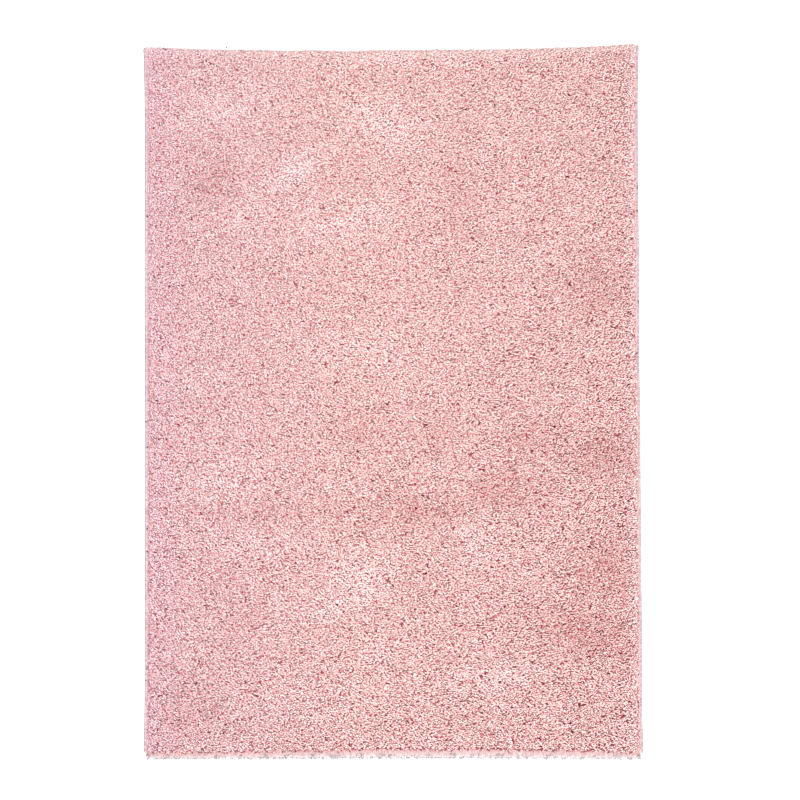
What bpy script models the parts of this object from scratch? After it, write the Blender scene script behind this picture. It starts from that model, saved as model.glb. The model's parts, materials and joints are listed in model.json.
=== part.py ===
"""Shag rug: a ground cloth, the deep pile tufted into it and a serged binding down each long side.

Metres, +Z up, lying on z = 0. From above, +X is the rug's right side and +Y its top end, and the
pile lies over towards the bottom end. The origin is below the middle of the whole rug's box.
"""

import math
import random
from collections import namedtuple

import bmesh
import bpy
from mathutils import Vector, noise
from mathutils.geometry import delaunay_2d_cdt

# The plain rectangle that the uneven outline strays from
WIDTH = 1.600  # over both bindings
TOP_END = 1.138  # middle line to the cloth's top end
BOTTOM_END = 1.124  # middle line to its bottom end, which the pile hides
GAP = 0.0003  # between pieces that touch

# Ground cloth, with a pressed lip along each long side for the binding to wrap
CLOTH_THICKNESS = 0.003
LIP_THICKNESS = 0.0016
LIP_BOTTOM = 0.0011
SIDE_STEP = 0.095  # between sections along a long side
END_STEP = 0.080  # between points along a short end

# Serged binding: a bead of wound yarn around the lip
BINDING_WIDTH = 0.010
BINDING_HEIGHT = 0.0053
BINDING_WALL = 0.0023  # outside the lip's edge
BINDING_UNDER = LIP_BOTTOM - GAP  # wound yarn below the lip
BINDING_OVER = LIP_BOTTOM + LIP_THICKNESS + GAP  # where the yarn above the lip starts
BINDING_END = 0.001  # thickness of the wound yarn at the bead's inner end

# Pile: a lumpy slab of tufts
PILE_FOOT = CLOTH_THICKNESS + GAP
PILE_SIDE_INSET = BINDING_WIDTH + 0.0015
PILE_END_INSET = 0.002
PILE_CORNER = 0.012  # cut off each corner of the pile's plan
SHARP_ANGLE = math.radians(50)  # between faces that a render shades as an edge
RIM_HEIGHT = 0.021  # where the slab's wall ends and its crown starts
RIM_UNEVEN = 0.002
CROWN_HEIGHT = 0.0272
TUFT_STEP = 0.042  # between the crown's points
TUFT_JITTER = 0.008
TUFT_UNEVEN = 0.0056
CLUMP_SIZE = 0.095  # lumps of tufts that lie together
CLUMP_RISE = 0.0080
SWATHE_SIZE = 0.42  # wide brushed areas
SWATHE_RISE = 0.0030
LOCK_STEP = 0.0262  # along the rim, one lock to each step
LOCK_WAIST = 0.62  # a lock's width halfway out, as a share of its root
LOCK_TIP = 0.26
SEED = 11

# Outside of the bead, from above its inner end round to its foot: shares of its width and height
Bead = namedtuple("Bead", "inward height")
BEAD_OUTSIDE = [
    Bead(0.80, 0.91),
    Bead(0.55, 1.00),
    Bead(0.28, 0.91),
    Bead(0.08, 0.72),
    Bead(0.00, 0.45),
    Bead(0.04, 0.17),
    Bead(0.12, 0.00),
]

# How far an edge lies outside the plain rectangle, at places along it
Stray = namedtuple("Stray", "place out")
LEFT_EDGE = [
    Stray(-1.13, 0.003),
    Stray(-0.96, 0.000),
    Stray(-0.12, -0.002),
    Stray(0.20, -0.001),
    Stray(0.40, -0.002),
    Stray(0.78, -0.001),
    Stray(1.00, 0.000),
    Stray(1.14, 0.004),
]
RIGHT_EDGE = [
    Stray(-1.13, 0.014),
    Stray(-1.00, 0.010),
    Stray(-0.72, 0.009),
    Stray(-0.50, 0.006),
    Stray(-0.10, 0.004),
    Stray(0.16, 0.000),
    Stray(0.46, -0.001),
    Stray(0.75, -0.004),
    Stray(0.95, -0.005),
    Stray(1.14, -0.002),
]
TOP_EDGE = [
    Stray(-0.80, 0.007),
    Stray(-0.70, 0.005),
    Stray(-0.63, 0.001),
    Stray(-0.44, -0.002),
    Stray(-0.33, -0.004),
    Stray(-0.23, -0.002),
    Stray(-0.13, -0.006),
    Stray(-0.05, -0.002),
    Stray(0.31, 0.000),
    Stray(0.44, 0.003),
    Stray(0.60, 0.007),
    Stray(0.70, 0.012),
    Stray(0.80, 0.018),
]
BOTTOM_EDGE = [
    Stray(-0.80, 0.004),
    Stray(-0.74, 0.007),
    Stray(-0.59, 0.005),
    Stray(-0.33, 0.001),
    Stray(-0.18, 0.000),
    Stray(-0.05, -0.006),
    Stray(0.13, -0.002),
    Stray(0.25, -0.007),
    Stray(0.37, -0.002),
    Stray(0.57, 0.000),
    Stray(0.80, 0.006),
]

# How the locks at each edge grow: how far their tips reach out and along the nap, the heights of their
# waists and tips above the floor, and half their thickness at each
Growth = namedtuple("Growth", "out nap waist_height tip_height waist_half tip_half")
BOTTOM_LOCKS = Growth(0.025, 0.0, 0.0128, 0.0070, 0.0052, 0.0024)
SIDE_LOCKS = Growth(0.0055, 0.011, 0.0150, 0.0165, 0.0045, 0.0022)
TOP_LOCKS = Growth(0.0050, 0.0, 0.0150, 0.0180, 0.0045, 0.0022)
LOCK_UNEVEN = 0.22  # share by which a lock's reach varies
LOCK_SWAY = 0.0030  # along the rim


def stray(rows, place):
    """How far out an edge lies at a place along it, eased from row to row."""
    if place <= rows[0].place:
        return rows[0].out
    for low, high in zip(rows, rows[1:]):
        if place <= high.place:
            t = (place - low.place) / (high.place - low.place)
            return low.out + (high.out - low.out) * t * t * (3 - 2 * t)
    return rows[-1].out


def laid(x, y, z):
    """A point of the plain rectangle, carried to where the uneven outline puts it."""
    across = x / WIDTH + 0.5
    along = (y + BOTTOM_END) / (TOP_END + BOTTOM_END)
    side = across * stray(RIGHT_EDGE, y) - (1 - across) * stray(LEFT_EDGE, y)
    end = along * stray(TOP_EDGE, x) - (1 - along) * stray(BOTTOM_EDGE, x)
    return Vector((x + side, y + end, z))


def even_steps(start, end, step):
    """Places from start to end, both included, about a step apart."""
    count = max(1, round(abs(end - start) / step))
    return [start + (end - start) * i / count for i in range(count + 1)]


def finished(mesh, name, material, smooth):
    """The object made from a closed bmesh, with its faces turned outwards."""
    bmesh.ops.recalc_face_normals(mesh, faces=mesh.faces[:])
    data = bpy.data.meshes.new(name)
    mesh.to_mesh(data)
    mesh.free()
    data.materials.append(material)
    if smooth:
        data.shade_smooth()
        data.set_sharp_from_angle(angle=SHARP_ANGLE)
    piece = bpy.data.objects.new(name, data)
    bpy.context.scene.collection.objects.link(piece)
    return piece


def yarn(name, colour, roughness):
    material = bpy.data.materials.new(name)
    material.use_nodes = True
    shader = material.node_tree.nodes["Principled BSDF"]
    shader.inputs["Base Color"].default_value = (*colour, 1)
    shader.inputs["Roughness"].default_value = roughness
    shader.inputs["Metallic"].default_value = 0
    material.diffuse_color = (*colour, 1)
    return material


def side_sections(mesh, side, profile):
    """A row of points for each section along a long side. A profile's points are distance in, height."""
    return [
        [mesh.verts.new(laid(side * (WIDTH / 2 - inward), y, z)) for inward, z in profile]
        for y in even_steps(-BOTTOM_END, TOP_END, SIDE_STEP)
    ]


def bridge(mesh, rows, closed):
    """Quads from each row of points to the next."""
    count = len(rows[0])
    for row, after in zip(rows, rows[1:]):
        for k in range(count if closed else count - 1):
            n = (k + 1) % count
            mesh.faces.new((row[k], row[n], after[n], after[k]))


def ground_cloth(material):
    mesh = bmesh.new()
    body_edge = BINDING_WIDTH + GAP
    lip_edge = BINDING_WALL + GAP
    lip_top = LIP_BOTTOM + LIP_THICKNESS
    profile = [
        (body_edge, 0.0),
        (body_edge, LIP_BOTTOM),
        (lip_edge, LIP_BOTTOM),
        (lip_edge, lip_top),
        (body_edge, lip_top),
        (body_edge, CLOTH_THICKNESS),
    ]
    left = side_sections(mesh, -1, profile)
    right = side_sections(mesh, 1, profile)
    for rows in (left, right):
        bridge(mesh, rows, closed=False)
        for row in (rows[0], rows[-1]):
            mesh.faces.new(row[1:5])  # the lip's end
    inner = even_steps(body_edge - WIDTH / 2, WIDTH / 2 - body_edge, END_STEP)[1:-1]
    ends = []
    for y, row_left, row_right in ((-BOTTOM_END, left[0], right[0]), (TOP_END, left[-1], right[-1])):
        low = [row_left[0], *(mesh.verts.new(laid(x, y, 0)) for x in inner), row_right[0]]
        high = [row_left[5], *(mesh.verts.new(laid(x, y, CLOTH_THICKNESS)) for x in inner), row_right[5]]
        for i in range(len(low) - 1):
            wall = [low[i], low[i + 1], high[i + 1], high[i]]
            if i == 0:
                wall += [row_left[4], row_left[1]]
            if i == len(low) - 2:
                wall[2:2] = [row_right[1], row_right[4]]
            mesh.faces.new(wall)
        ends.append((low, high))
    for level, corner in ((0, 0), (1, 5)):
        up_right = [row[corner] for row in right[1:-1]]
        down_left = [row[corner] for row in left[-2:0:-1]]
        mesh.faces.new([*ends[0][level], *up_right, *reversed(ends[1][level]), *down_left])
    return finished(mesh, "ground_cloth", material, smooth=False)


def side_binding(name, side, material):
    mesh = bmesh.new()
    profile = [
        (BINDING_WIDTH, 0.0),
        (BINDING_WIDTH, BINDING_UNDER),
        (BINDING_WALL, BINDING_UNDER),
        (BINDING_WALL, BINDING_OVER),
        (BINDING_WIDTH, BINDING_OVER),
        (BINDING_WIDTH, BINDING_OVER + BINDING_END),
        *((at.inward * BINDING_WIDTH, at.height * BINDING_HEIGHT) for at in BEAD_OUTSIDE),
    ]
    rows = side_sections(mesh, side, profile)
    bridge(mesh, rows, closed=True)
    for row in (rows[0], rows[-1]):
        mesh.faces.new(row)
    return finished(mesh, name, material, smooth=True)


def crown_height(x, y, chance):
    """Height of the tufts at a place: swathes and clumps, and each tuft's own unevenness."""
    swathe = SWATHE_RISE * noise.noise(Vector((x, y, 0)) / SWATHE_SIZE)
    clump = CLUMP_RISE * noise.noise(Vector((x, y, 0)) / CLUMP_SIZE)
    return CROWN_HEIGHT + swathe + clump + TUFT_UNEVEN * chance.uniform(-1, 1)


def pile_plan():
    """The pile's foot in plan, anticlockwise from the bottom left, as points and each side's growth.

    Item i of the second list holds how the locks grow on the side from point i to the next, and the way out.
    """
    right = WIDTH / 2 - PILE_SIDE_INSET
    top = TOP_END - PILE_END_INSET
    bottom = PILE_END_INSET - BOTTOM_END
    cut = PILE_CORNER
    corners = [
        (Vector((cut - right, bottom)), Vector((right - cut, bottom)), BOTTOM_LOCKS),
        (Vector((right, bottom + cut)), Vector((right, top - cut)), SIDE_LOCKS),
        (Vector((right - cut, top)), Vector((cut - right, top)), TOP_LOCKS),
        (Vector((-right, top - cut)), Vector((-right, bottom + cut)), SIDE_LOCKS),
    ]
    points, sides = [], []
    for k, (start, end, growth) in enumerate(corners):
        run = end - start
        out = Vector((run.y, -run.x)).normalized()
        steps = even_steps(0, run.length, LOCK_STEP)
        points += [start + run * (s / run.length) for s in steps]
        sides += [(growth, out)] * (len(steps) - 1)
        after = corners[(k + 1) % len(corners)]
        run = after[1] - after[0]
        turned = out + Vector((run.y, -run.x)).normalized()
        mean = Growth(*((a + b) / 2 for a, b in zip(growth, after[2])))
        sides.append((mean, turned.normalized()))
    return points, sides


def ring(mesh, centre, tangent, growing, half_width, half_height):
    """Four points around a lock, square to the way it grows: two below, then two above."""
    up = tangent.cross(growing).normalized()
    if up.z < 0:
        up.negate()
    return [
        mesh.verts.new(centre - tangent * half_width - up * half_height),
        mesh.verts.new(centre + tangent * half_width - up * half_height),
        mesh.verts.new(centre + tangent * half_width + up * half_height),
        mesh.verts.new(centre - tangent * half_width + up * half_height),
    ]


def lock(mesh, root, growth, out, chance):
    """A four-sided lock of pile, growing from a quad of the slab's wall to a narrow tip."""
    foot = sum((corner.co for corner in root), Vector()) / 4
    run = (root[1].co - root[0].co).xy
    tangent = Vector((run.x, run.y, 0)).normalized()
    away = Vector((out.x, out.y, 0))
    reach = growth.out * (1 + LOCK_UNEVEN * chance.uniform(-1, 1))
    sway = tangent * LOCK_SWAY * chance.uniform(-1, 1)
    nap = Vector((0, -growth.nap, 0))
    waist = foot + (away * reach + sway + nap) * 0.5
    waist.z = growth.waist_height
    tip = foot + away * reach + sway * 1.5 + nap
    tip.z = growth.tip_height * (1 + 0.5 * LOCK_UNEVEN * chance.uniform(-1, 1))
    half = run.length / 2
    growing = away + Vector((0, 0, (tip.z - waist.z) / max(reach, GAP)))
    middle = ring(mesh, waist, tangent, growing, half * LOCK_WAIST, growth.waist_half)
    end = ring(mesh, tip, tangent, growing, half * LOCK_TIP, growth.tip_half)
    bridge(mesh, [root, middle, end], closed=True)
    mesh.faces.new(end)


def tuft_places(plan, chance):
    """Places of the crown's points: rows of tufts, shaken, and kept clear of the rim."""
    right = max(point.x for point in plan) - 0.75 * TUFT_STEP
    top = max(point.y for point in plan) - 0.5 * TUFT_STEP
    bottom = min(point.y for point in plan) + 0.5 * TUFT_STEP
    places = []
    for k, y in enumerate(even_steps(bottom, top, TUFT_STEP * math.sqrt(3) / 2)):
        shift = 0.25 * TUFT_STEP * (-1) ** k  # each row lies half a step off its neighbours
        for x in even_steps(-right, right, TUFT_STEP):
            shaken_x = x + shift + TUFT_JITTER * chance.uniform(-1, 1)
            places.append((shaken_x, y + TUFT_JITTER * chance.uniform(-1, 1)))
    return places


def shag_pile(material):
    chance = random.Random(SEED)
    mesh = bmesh.new()
    plan, sides = pile_plan()
    low, high = [], []
    for point in plan:
        rim = RIM_HEIGHT + RIM_UNEVEN * chance.uniform(-1, 1)
        low.append(mesh.verts.new(laid(point.x, point.y, PILE_FOOT)))
        high.append(mesh.verts.new(laid(point.x, point.y, rim)))
    mesh.faces.new(low)
    for i, (growth, out) in enumerate(sides):
        n = (i + 1) % len(plan)
        lock(mesh, [low[i], low[n], high[n], high[i]], growth, out, chance)

    inside = tuft_places(plan, chance)
    crown = [mesh.verts.new(laid(x, y, crown_height(x, y, chance))) for x, y in inside]
    rim_loop = list(range(len(plan)))
    flat = [Vector(point) for point in plan] + [Vector(place) for place in inside]
    _, _, faces, origin, _, _ = delaunay_2d_cdt(flat, [], [rim_loop], 1, 1e-6)
    surface = high + crown
    for face in faces:
        mesh.faces.new([surface[origin[v][0]] for v in face])
    return finished(mesh, "shag_pile", material, smooth=True)


def stand_on_origin(pieces):
    """Hangs the pieces on an empty that puts the middle of their box's bottom at the origin."""
    corners = [vert.co for piece in pieces for vert in piece.data.vertices]
    low = Vector(min(corner[axis] for corner in corners) for axis in range(3))
    high = Vector(max(corner[axis] for corner in corners) for axis in range(3))
    holder = bpy.data.objects.new("rug", None)
    holder.location = (-(low.x + high.x) / 2, -(low.y + high.y) / 2, -low.z)
    bpy.context.scene.collection.objects.link(holder)
    for piece in pieces:
        piece.parent = holder


def build():
    for old in list(bpy.data.objects):
        bpy.data.objects.remove(old)
    backing = yarn("backing_weave", (0.62, 0.48, 0.42), 0.95)
    pile_yarn = yarn("pile_yarn", (0.79, 0.50, 0.49), 0.90)
    edge_yarn = yarn("edge_yarn", (0.68, 0.47, 0.50), 0.85)
    pieces = [
        ground_cloth(backing),
        shag_pile(pile_yarn),
        side_binding("side_binding_left", -1, edge_yarn),
        side_binding("side_binding_right", 1, edge_yarn),
    ]
    stand_on_origin(pieces)


build()
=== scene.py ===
import json
import math
import random

import bpy
import numpy as np
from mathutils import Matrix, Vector, kdtree, noise
from mathutils.bvhtree import BVHTree

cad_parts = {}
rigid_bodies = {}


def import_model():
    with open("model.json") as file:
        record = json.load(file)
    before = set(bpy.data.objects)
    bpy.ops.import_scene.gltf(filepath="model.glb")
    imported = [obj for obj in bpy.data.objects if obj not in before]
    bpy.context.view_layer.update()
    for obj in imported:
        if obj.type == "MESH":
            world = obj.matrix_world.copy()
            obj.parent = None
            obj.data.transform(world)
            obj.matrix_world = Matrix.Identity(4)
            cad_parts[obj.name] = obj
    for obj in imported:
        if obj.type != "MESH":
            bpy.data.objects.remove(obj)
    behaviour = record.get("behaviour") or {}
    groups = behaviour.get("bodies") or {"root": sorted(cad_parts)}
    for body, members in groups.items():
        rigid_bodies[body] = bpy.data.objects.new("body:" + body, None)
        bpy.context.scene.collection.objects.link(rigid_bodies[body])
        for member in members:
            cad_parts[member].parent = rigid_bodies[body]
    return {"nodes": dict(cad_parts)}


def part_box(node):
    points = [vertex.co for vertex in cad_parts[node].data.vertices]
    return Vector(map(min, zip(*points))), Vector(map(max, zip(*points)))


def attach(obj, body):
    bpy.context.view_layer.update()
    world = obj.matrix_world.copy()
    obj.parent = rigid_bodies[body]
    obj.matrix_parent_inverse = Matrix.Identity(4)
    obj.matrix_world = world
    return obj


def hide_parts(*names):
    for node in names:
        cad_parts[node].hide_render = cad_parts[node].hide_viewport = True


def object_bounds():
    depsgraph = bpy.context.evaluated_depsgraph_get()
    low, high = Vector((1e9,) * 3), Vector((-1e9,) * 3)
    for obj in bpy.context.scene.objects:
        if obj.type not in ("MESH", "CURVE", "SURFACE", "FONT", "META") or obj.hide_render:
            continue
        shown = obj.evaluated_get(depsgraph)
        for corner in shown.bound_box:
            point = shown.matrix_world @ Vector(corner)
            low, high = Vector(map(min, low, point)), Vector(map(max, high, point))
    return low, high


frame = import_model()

cadLow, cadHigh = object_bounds()
scene = bpy.context.scene
print("frame loaded, rug box", [round(v, 4) for v in (*cadLow, *cadHigh)])


def cadPoints(node):
    return np.array([vert.co for vert in frame["nodes"][node].data.vertices])


def edgeLine(points, along, across, pick):
    # the outermost corner of each row of corners at an edge, as a function of the place along it
    rowGap = 0.02
    keys = np.round(points[:, along] / rowGap)
    rows = [points[keys == key] for key in np.unique(keys)]
    places = [row[:, along].mean() for row in rows]
    values = [pick(row[:, across]) for row in rows]
    return lambda at: np.interp(at, places, values)


endBand = 0.045  # corners of the cloth this near to its furthest one lie on that end
clothPoints = cadPoints("ground_cloth")
leftOuter = edgeLine(cadPoints("side_binding_left"), 1, 0, np.min)
rightOuter = edgeLine(cadPoints("side_binding_right"), 1, 0, np.max)
topEnd = edgeLine(clothPoints[clothPoints[:, 1] > clothPoints[:, 1].max() - endBand], 0, 1, np.max)
bottomEnd = edgeLine(clothPoints[clothPoints[:, 1] < clothPoints[:, 1].min() + endBand], 0, 1, np.min)

pileNode = frame["nodes"]["shag_pile"].data
pileFaces = [face.vertices for face in pileNode.polygons]
pileSurface = BVHTree.FromPolygons([vert.co for vert in pileNode.vertices], pileFaces)


def crownAt(x, y, missing):
    # height of the solid's lumpy top under each place, or the missing height beside it
    heights = []
    for a, b in zip(x, y):
        hit = pileSurface.ray_cast(Vector((a, b, 1)), Vector((0, 0, -1)))[0]
        heights.append(missing if hit is None else hit.z)
    return np.array(heights)


def newPiece(name, mesh):
    piece = bpy.data.objects.new(name, mesh)
    scene.collection.objects.link(piece)
    return piece


def removeAll(helpers):
    for helper in list(helpers):
        bpy.data.objects.remove(helper)


def meshFrom(name, corners, faces):
    mesh = bpy.data.meshes.new(name)
    mesh.from_pydata([tuple(c) for c in corners], [], faces)
    mesh.update()
    mesh.shade_smooth()
    return mesh


def floatAttribute(mesh, name, values):
    mesh.attributes.new(name, "FLOAT", "POINT").data.foreach_set("value", values)


def vectorAttribute(mesh, name, values):
    mesh.attributes.new(name, "FLOAT_VECTOR", "POINT").data.foreach_set("vector", values.ravel())


def addNode(tree, kind, inputs=None, **settings):
    # inputs maps a socket's name or number to a value, to another node's output, or to a node, which then
    # stands for its first output
    made = tree.nodes.new(kind)
    for name, value in settings.items():
        setattr(made, name, value)
    for key, value in (inputs or {}).items():
        if isinstance(value, bpy.types.Node):
            value = value.outputs[0]
        if isinstance(value, bpy.types.NodeSocket):
            tree.links.new(value, made.inputs[key])
        else:
            made.inputs[key].default_value = value
    return made


def applyTree(holder, tree, values, name):
    # sets the modifier's inputs by identifier, evaluates it once and keeps the result as a plain mesh
    modifier = holder.modifiers.new("nodes", "NODES")
    modifier.node_group = tree
    for item in tree.interface.items_tree:
        if item.in_out == "INPUT" and item.name in values:
            modifier[item.identifier] = values[item.name]
    graph = bpy.context.evaluated_depsgraph_get()
    mesh = bpy.data.meshes.new_from_object(holder.evaluated_get(graph), depsgraph=graph)
    mesh.name = name
    bpy.data.objects.remove(holder)
    return newPiece(name, mesh)


def newTree(name, inputs):
    tree = bpy.data.node_groups.new(name, "GeometryNodeTree")
    for label, kind in inputs:
        tree.interface.new_socket(label, in_out="INPUT", socket_type="NodeSocket" + kind)
    tree.interface.new_socket("Geometry", in_out="OUTPUT", socket_type="NodeSocketGeometry")
    return tree, addNode(tree, "NodeGroupInput").outputs


def endTree(tree, instances, material):
    real = addNode(tree, "GeometryNodeRealizeInstances", {0: instances})
    dressed = addNode(tree, "GeometryNodeSetMaterial", {0: real, "Material": material})
    addNode(tree, "NodeGroupOutput", {0: dressed})


def namedValue(tree, label, kind="FLOAT"):
    return addNode(tree, "GeometryNodeInputNamedAttribute", {0: label}, data_type=kind)


def storedValue(tree, geometry, label, value, kind="FLOAT", domain="INSTANCE"):
    return addNode(tree, "GeometryNodeStoreNamedAttribute", {0: geometry, "Name": label, "Value": value},
                   data_type=kind, domain=domain)


def randomValue(tree, low, high, seed, kind="FLOAT"):
    slot = ("FLOAT_VECTOR", "FLOAT", "INT").index(kind)
    made = addNode(tree, "FunctionNodeRandomValue", {2 * slot: low, 2 * slot + 1: high, "Seed": seed},
                   data_type=kind)
    return made.outputs[slot]


cameraView = {
    "frameWidth": 2.5865,  # metres that the picture's side spans at the floor
    "aim": (0.0209, 0.0095),  # the floor point at the picture's middle
    "lens": 85,
}


def addCamera():
    data = bpy.data.cameras.new("overheadCamera")
    data.lens = cameraView["lens"]
    height = cameraView["frameWidth"] * data.lens / data.sensor_width
    camera = newPiece("overheadCamera", data)
    camera.location = (*cameraView["aim"], height)
    scene.camera = camera


addCamera()
print("camera set overhead")


def newMaterial(name):
    material = bpy.data.materials.new(name)
    material.use_nodes = True
    tree = material.node_tree
    place = addNode(tree, "ShaderNodeTexCoord").outputs["Object"]
    return material, tree, tree.nodes["Principled BSDF"], place


def readAttribute(tree, name):
    return addNode(tree, "ShaderNodeAttribute", attribute_name=name).outputs["Fac"]


def rangeOf(tree, value, source, target=(0, 1)):
    return addNode(tree, "ShaderNodeMapRange", dict(enumerate([value, *source, *target])))


def mathOf(tree, operation, *values):
    return addNode(tree, "ShaderNodeMath", dict(enumerate(values)), operation=operation)


def product(tree, first, second):
    return mathOf(tree, "MULTIPLY", first, second)


def axesOf(tree, place):
    return addNode(tree, "ShaderNodeSeparateXYZ", {0: place}).outputs


def scaled(tree, colour, factor):
    return addNode(tree, "ShaderNodeVectorMath", {0: colour, "Scale": factor}, operation="SCALE").outputs[0]


def colourMix(tree, factor, first, second, blend="MIX"):
    sides = [c if isinstance(c, bpy.types.NodeSocket) else (*c, 1) for c in (first, second)]
    made = addNode(tree, "ShaderNodeMix", {0: factor, 6: sides[0], 7: sides[1]},
                   data_type="RGBA", blend_type=blend)
    return made.outputs[2]


def ramped(tree, value, look, *names):
    # the colours of those names, each at its own place along the value
    made = addNode(tree, "ShaderNodeValToRGB", {0: value})
    elements = made.color_ramp.elements
    for k, name in enumerate(names):
        position = look[name + "At"]
        stop = elements[k] if k < 2 else elements.new(position)
        stop.position, stop.color = position, (*look[name], 1)
    return made.outputs[0]


def noiseOf(tree, place, size, detail=2.0):
    return addNode(tree, "ShaderNodeTexNoise", {"Vector": place, "Scale": 1 / size, "Detail": detail})


def finishMaterial(tree, shader, look, colour, height):
    bump = addNode(tree, "ShaderNodeBump", {"Height": height, "Strength": 1.0, "Distance": look["relief"]})
    tree.links.new(bump.outputs[0], shader.inputs["Normal"])
    tree.links.new(colour, shader.inputs["Base Color"])
    shader.inputs["Roughness"].default_value = look["roughness"]
    shader.inputs["Specular IOR Level"].default_value = look["specular"]


pileColours = {
    "deep": (0.31, 0.067, 0.073),
    "middle": (0.85, 0.615, 0.605),
    "tip": (0.96, 0.72, 0.705),
    "deepAt": 0.08,  # on the painted light level, painted shade low in the pile and on a strand's sides: height over a strand's root, as a share of a tall one
    "middleAt": 0.36,
    "tipAt": 0.95,
    "edgeTint": (0.91, 0.99, 1.09),  # painted light: a cool cast at the rug's left edge and a warmer one at its right side
    "edgeTintAt": 0.0,  # as a share of the way across
    "leftTint": (0.93, 1.02, 1.06),
    "leftTintAt": 0.08,
    "middleTint": (0.985, 1.07, 1.045),
    "middleTintAt": 0.42,
    "rightTint": (0.99, 1.065, 1.045),
    "rightTintAt": 1.0,
    "brushLightTints": ((0.95, 0.88, 0.88), (1.0, 1.08, 1.085)),
    "shadeRange": (0.89, 0.99),
    "brushLightRange": (0.82, 1.15),
    "roughness": 0.85,
    "specular": 0.1,
    "fibreSize": 0.0012,
    "relief": 0.0003,
    "gapShadeColour": (0.10, 0.012, 0.018),  # painted shade: whole strands at the pile's dark gaps
    "hangNear": (0.345, 0.185, 0.19),  # painted shade where the pile hangs over the bottom end, near the cloth under the upright pile
    "hangNearAt": 0.0,
    "hangFar": (0.445, 0.368, 0.372),  # further out, greyer as a painted soft shadow
    "hangFarAt": 0.7,
    "hangFullAt": 0.25,  # share of the way out where this colour has taken over
    "hangTip": (0.56, 0.49, 0.495),  # and at its very tips
    "hangTipAt": 1.0,
    "hangStreaks": (0.004, 3.0),  # width of the paler locks in it, and their length as a share of that
    "hangNoise": (0.3, 0.7),  # the span of a noise that gives the darkest and the palest lock
    "hangContrast": (0.72, 1.20),
}


def pileTint(tree, place, colour):
    # painted light: the slow cool-to-warm cast across the rug, and the lighter and darker soft patches where
    # the pile lies the other way
    look = pileColours
    share = rangeOf(tree, axesOf(tree, place)["X"], (cadLow.x, cadHigh.x))
    tint = ramped(tree, share, look, "edgeTint", "rightTint", "leftTint", "middleTint")
    tinted = colourMix(tree, 1.0, colour, tint, "MULTIPLY")
    brushLight = readAttribute(tree, "brushLight")
    # painted light and shade of the brushed patches
    brushed = colourMix(tree, rangeOf(tree, brushLight, (-1, 1)), *look["brushLightTints"])
    return colourMix(tree, 1.0, tinted, brushed, "MULTIPLY")


# where the yarn hangs over the bottom end: colour darkened as painted shade, most near the cloth, in pale
# and dark locks
def hungColour(tree, place, colour):
    # the backs of the yarn, in pale and dark locks, that show where it hangs over the bottom end
    look = pileColours
    hang = readAttribute(tree, "hang")
    width, length = look["hangStreaks"]
    drawn = addNode(tree, "ShaderNodeVectorMath", {0: place, 1: (1, 1 / length, 1 / length)},
                    operation="MULTIPLY")
    locks = rangeOf(tree, noiseOf(tree, drawn, width, 1.0), look["hangNoise"], look["hangContrast"])
    band = scaled(tree, ramped(tree, hang, look, "hangNear", "hangTip", "hangFar"), locks)
    return colourMix(tree, rangeOf(tree, hang, (0, look["hangFullAt"])), colour, band)


def yarnMaterial():
    look = pileColours
    material, tree, shader, place = newMaterial("pileYarn")
    # painted shade and light: the yarn darkens towards its root and on its sides, by its painted light level
    colour = ramped(tree, readAttribute(tree, "paintedLight"), look, "deep", "tip", "middle")
    # painted shade: strands at the pile's dark gaps take this dark colour whole
    colour = colourMix(tree, readAttribute(tree, "gapShade"), colour, look["gapShadeColour"])
    colour = hungColour(tree, place, pileTint(tree, place, colour))
    # random tone per strand, and the painted light of the brushed patches
    factor = product(tree, rangeOf(tree, readAttribute(tree, "shade"), (0, 1), look["shadeRange"]),
                     rangeOf(tree, readAttribute(tree, "brushLight"), (-1, 1), look["brushLightRange"]))
    finishMaterial(tree, shader, look, scaled(tree, colour, factor), noiseOf(tree, place, look["fibreSize"]))
    return material


pileBaseLook = {
    # painted shade in the gaps between the lying flecks
    "pitShade": (0.08, 0.007, 0.013),
    "low": (0.50, 0.172, 0.178),
    "high": (0.80, 0.52, 0.51),
    # painted light on the pile's foot where it slopes into shade at the top end and sides
    "slopeLight": (0.90, 0.70, 0.69),
    "pitShadeAt": 0.0,
    "lowAt": 0.10,
    "highAt": 0.30,
    "openShade": 0.02,  # painted shade: the foot is darker towards the lower right, where the pile is more open
    "fleckSize": 0.0065,  # from one lying strand to the next
    "fleckLength": 1.5,  # as a share of that
    "fleckLoose": 0.9,
    "bendX": 0.085,  # how the lying strands turn from the left side to the right one
    "bendXX": -0.278,
    "uneven": 0.20,
    "unevenSize": 0.006,
    "unevenNoise": (0.25, 0.75),  # the span of the noise that gives the least and the most
    "relief": 0.004,
    "roughness": 0.95,
    "specular": 0.1,
}


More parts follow.
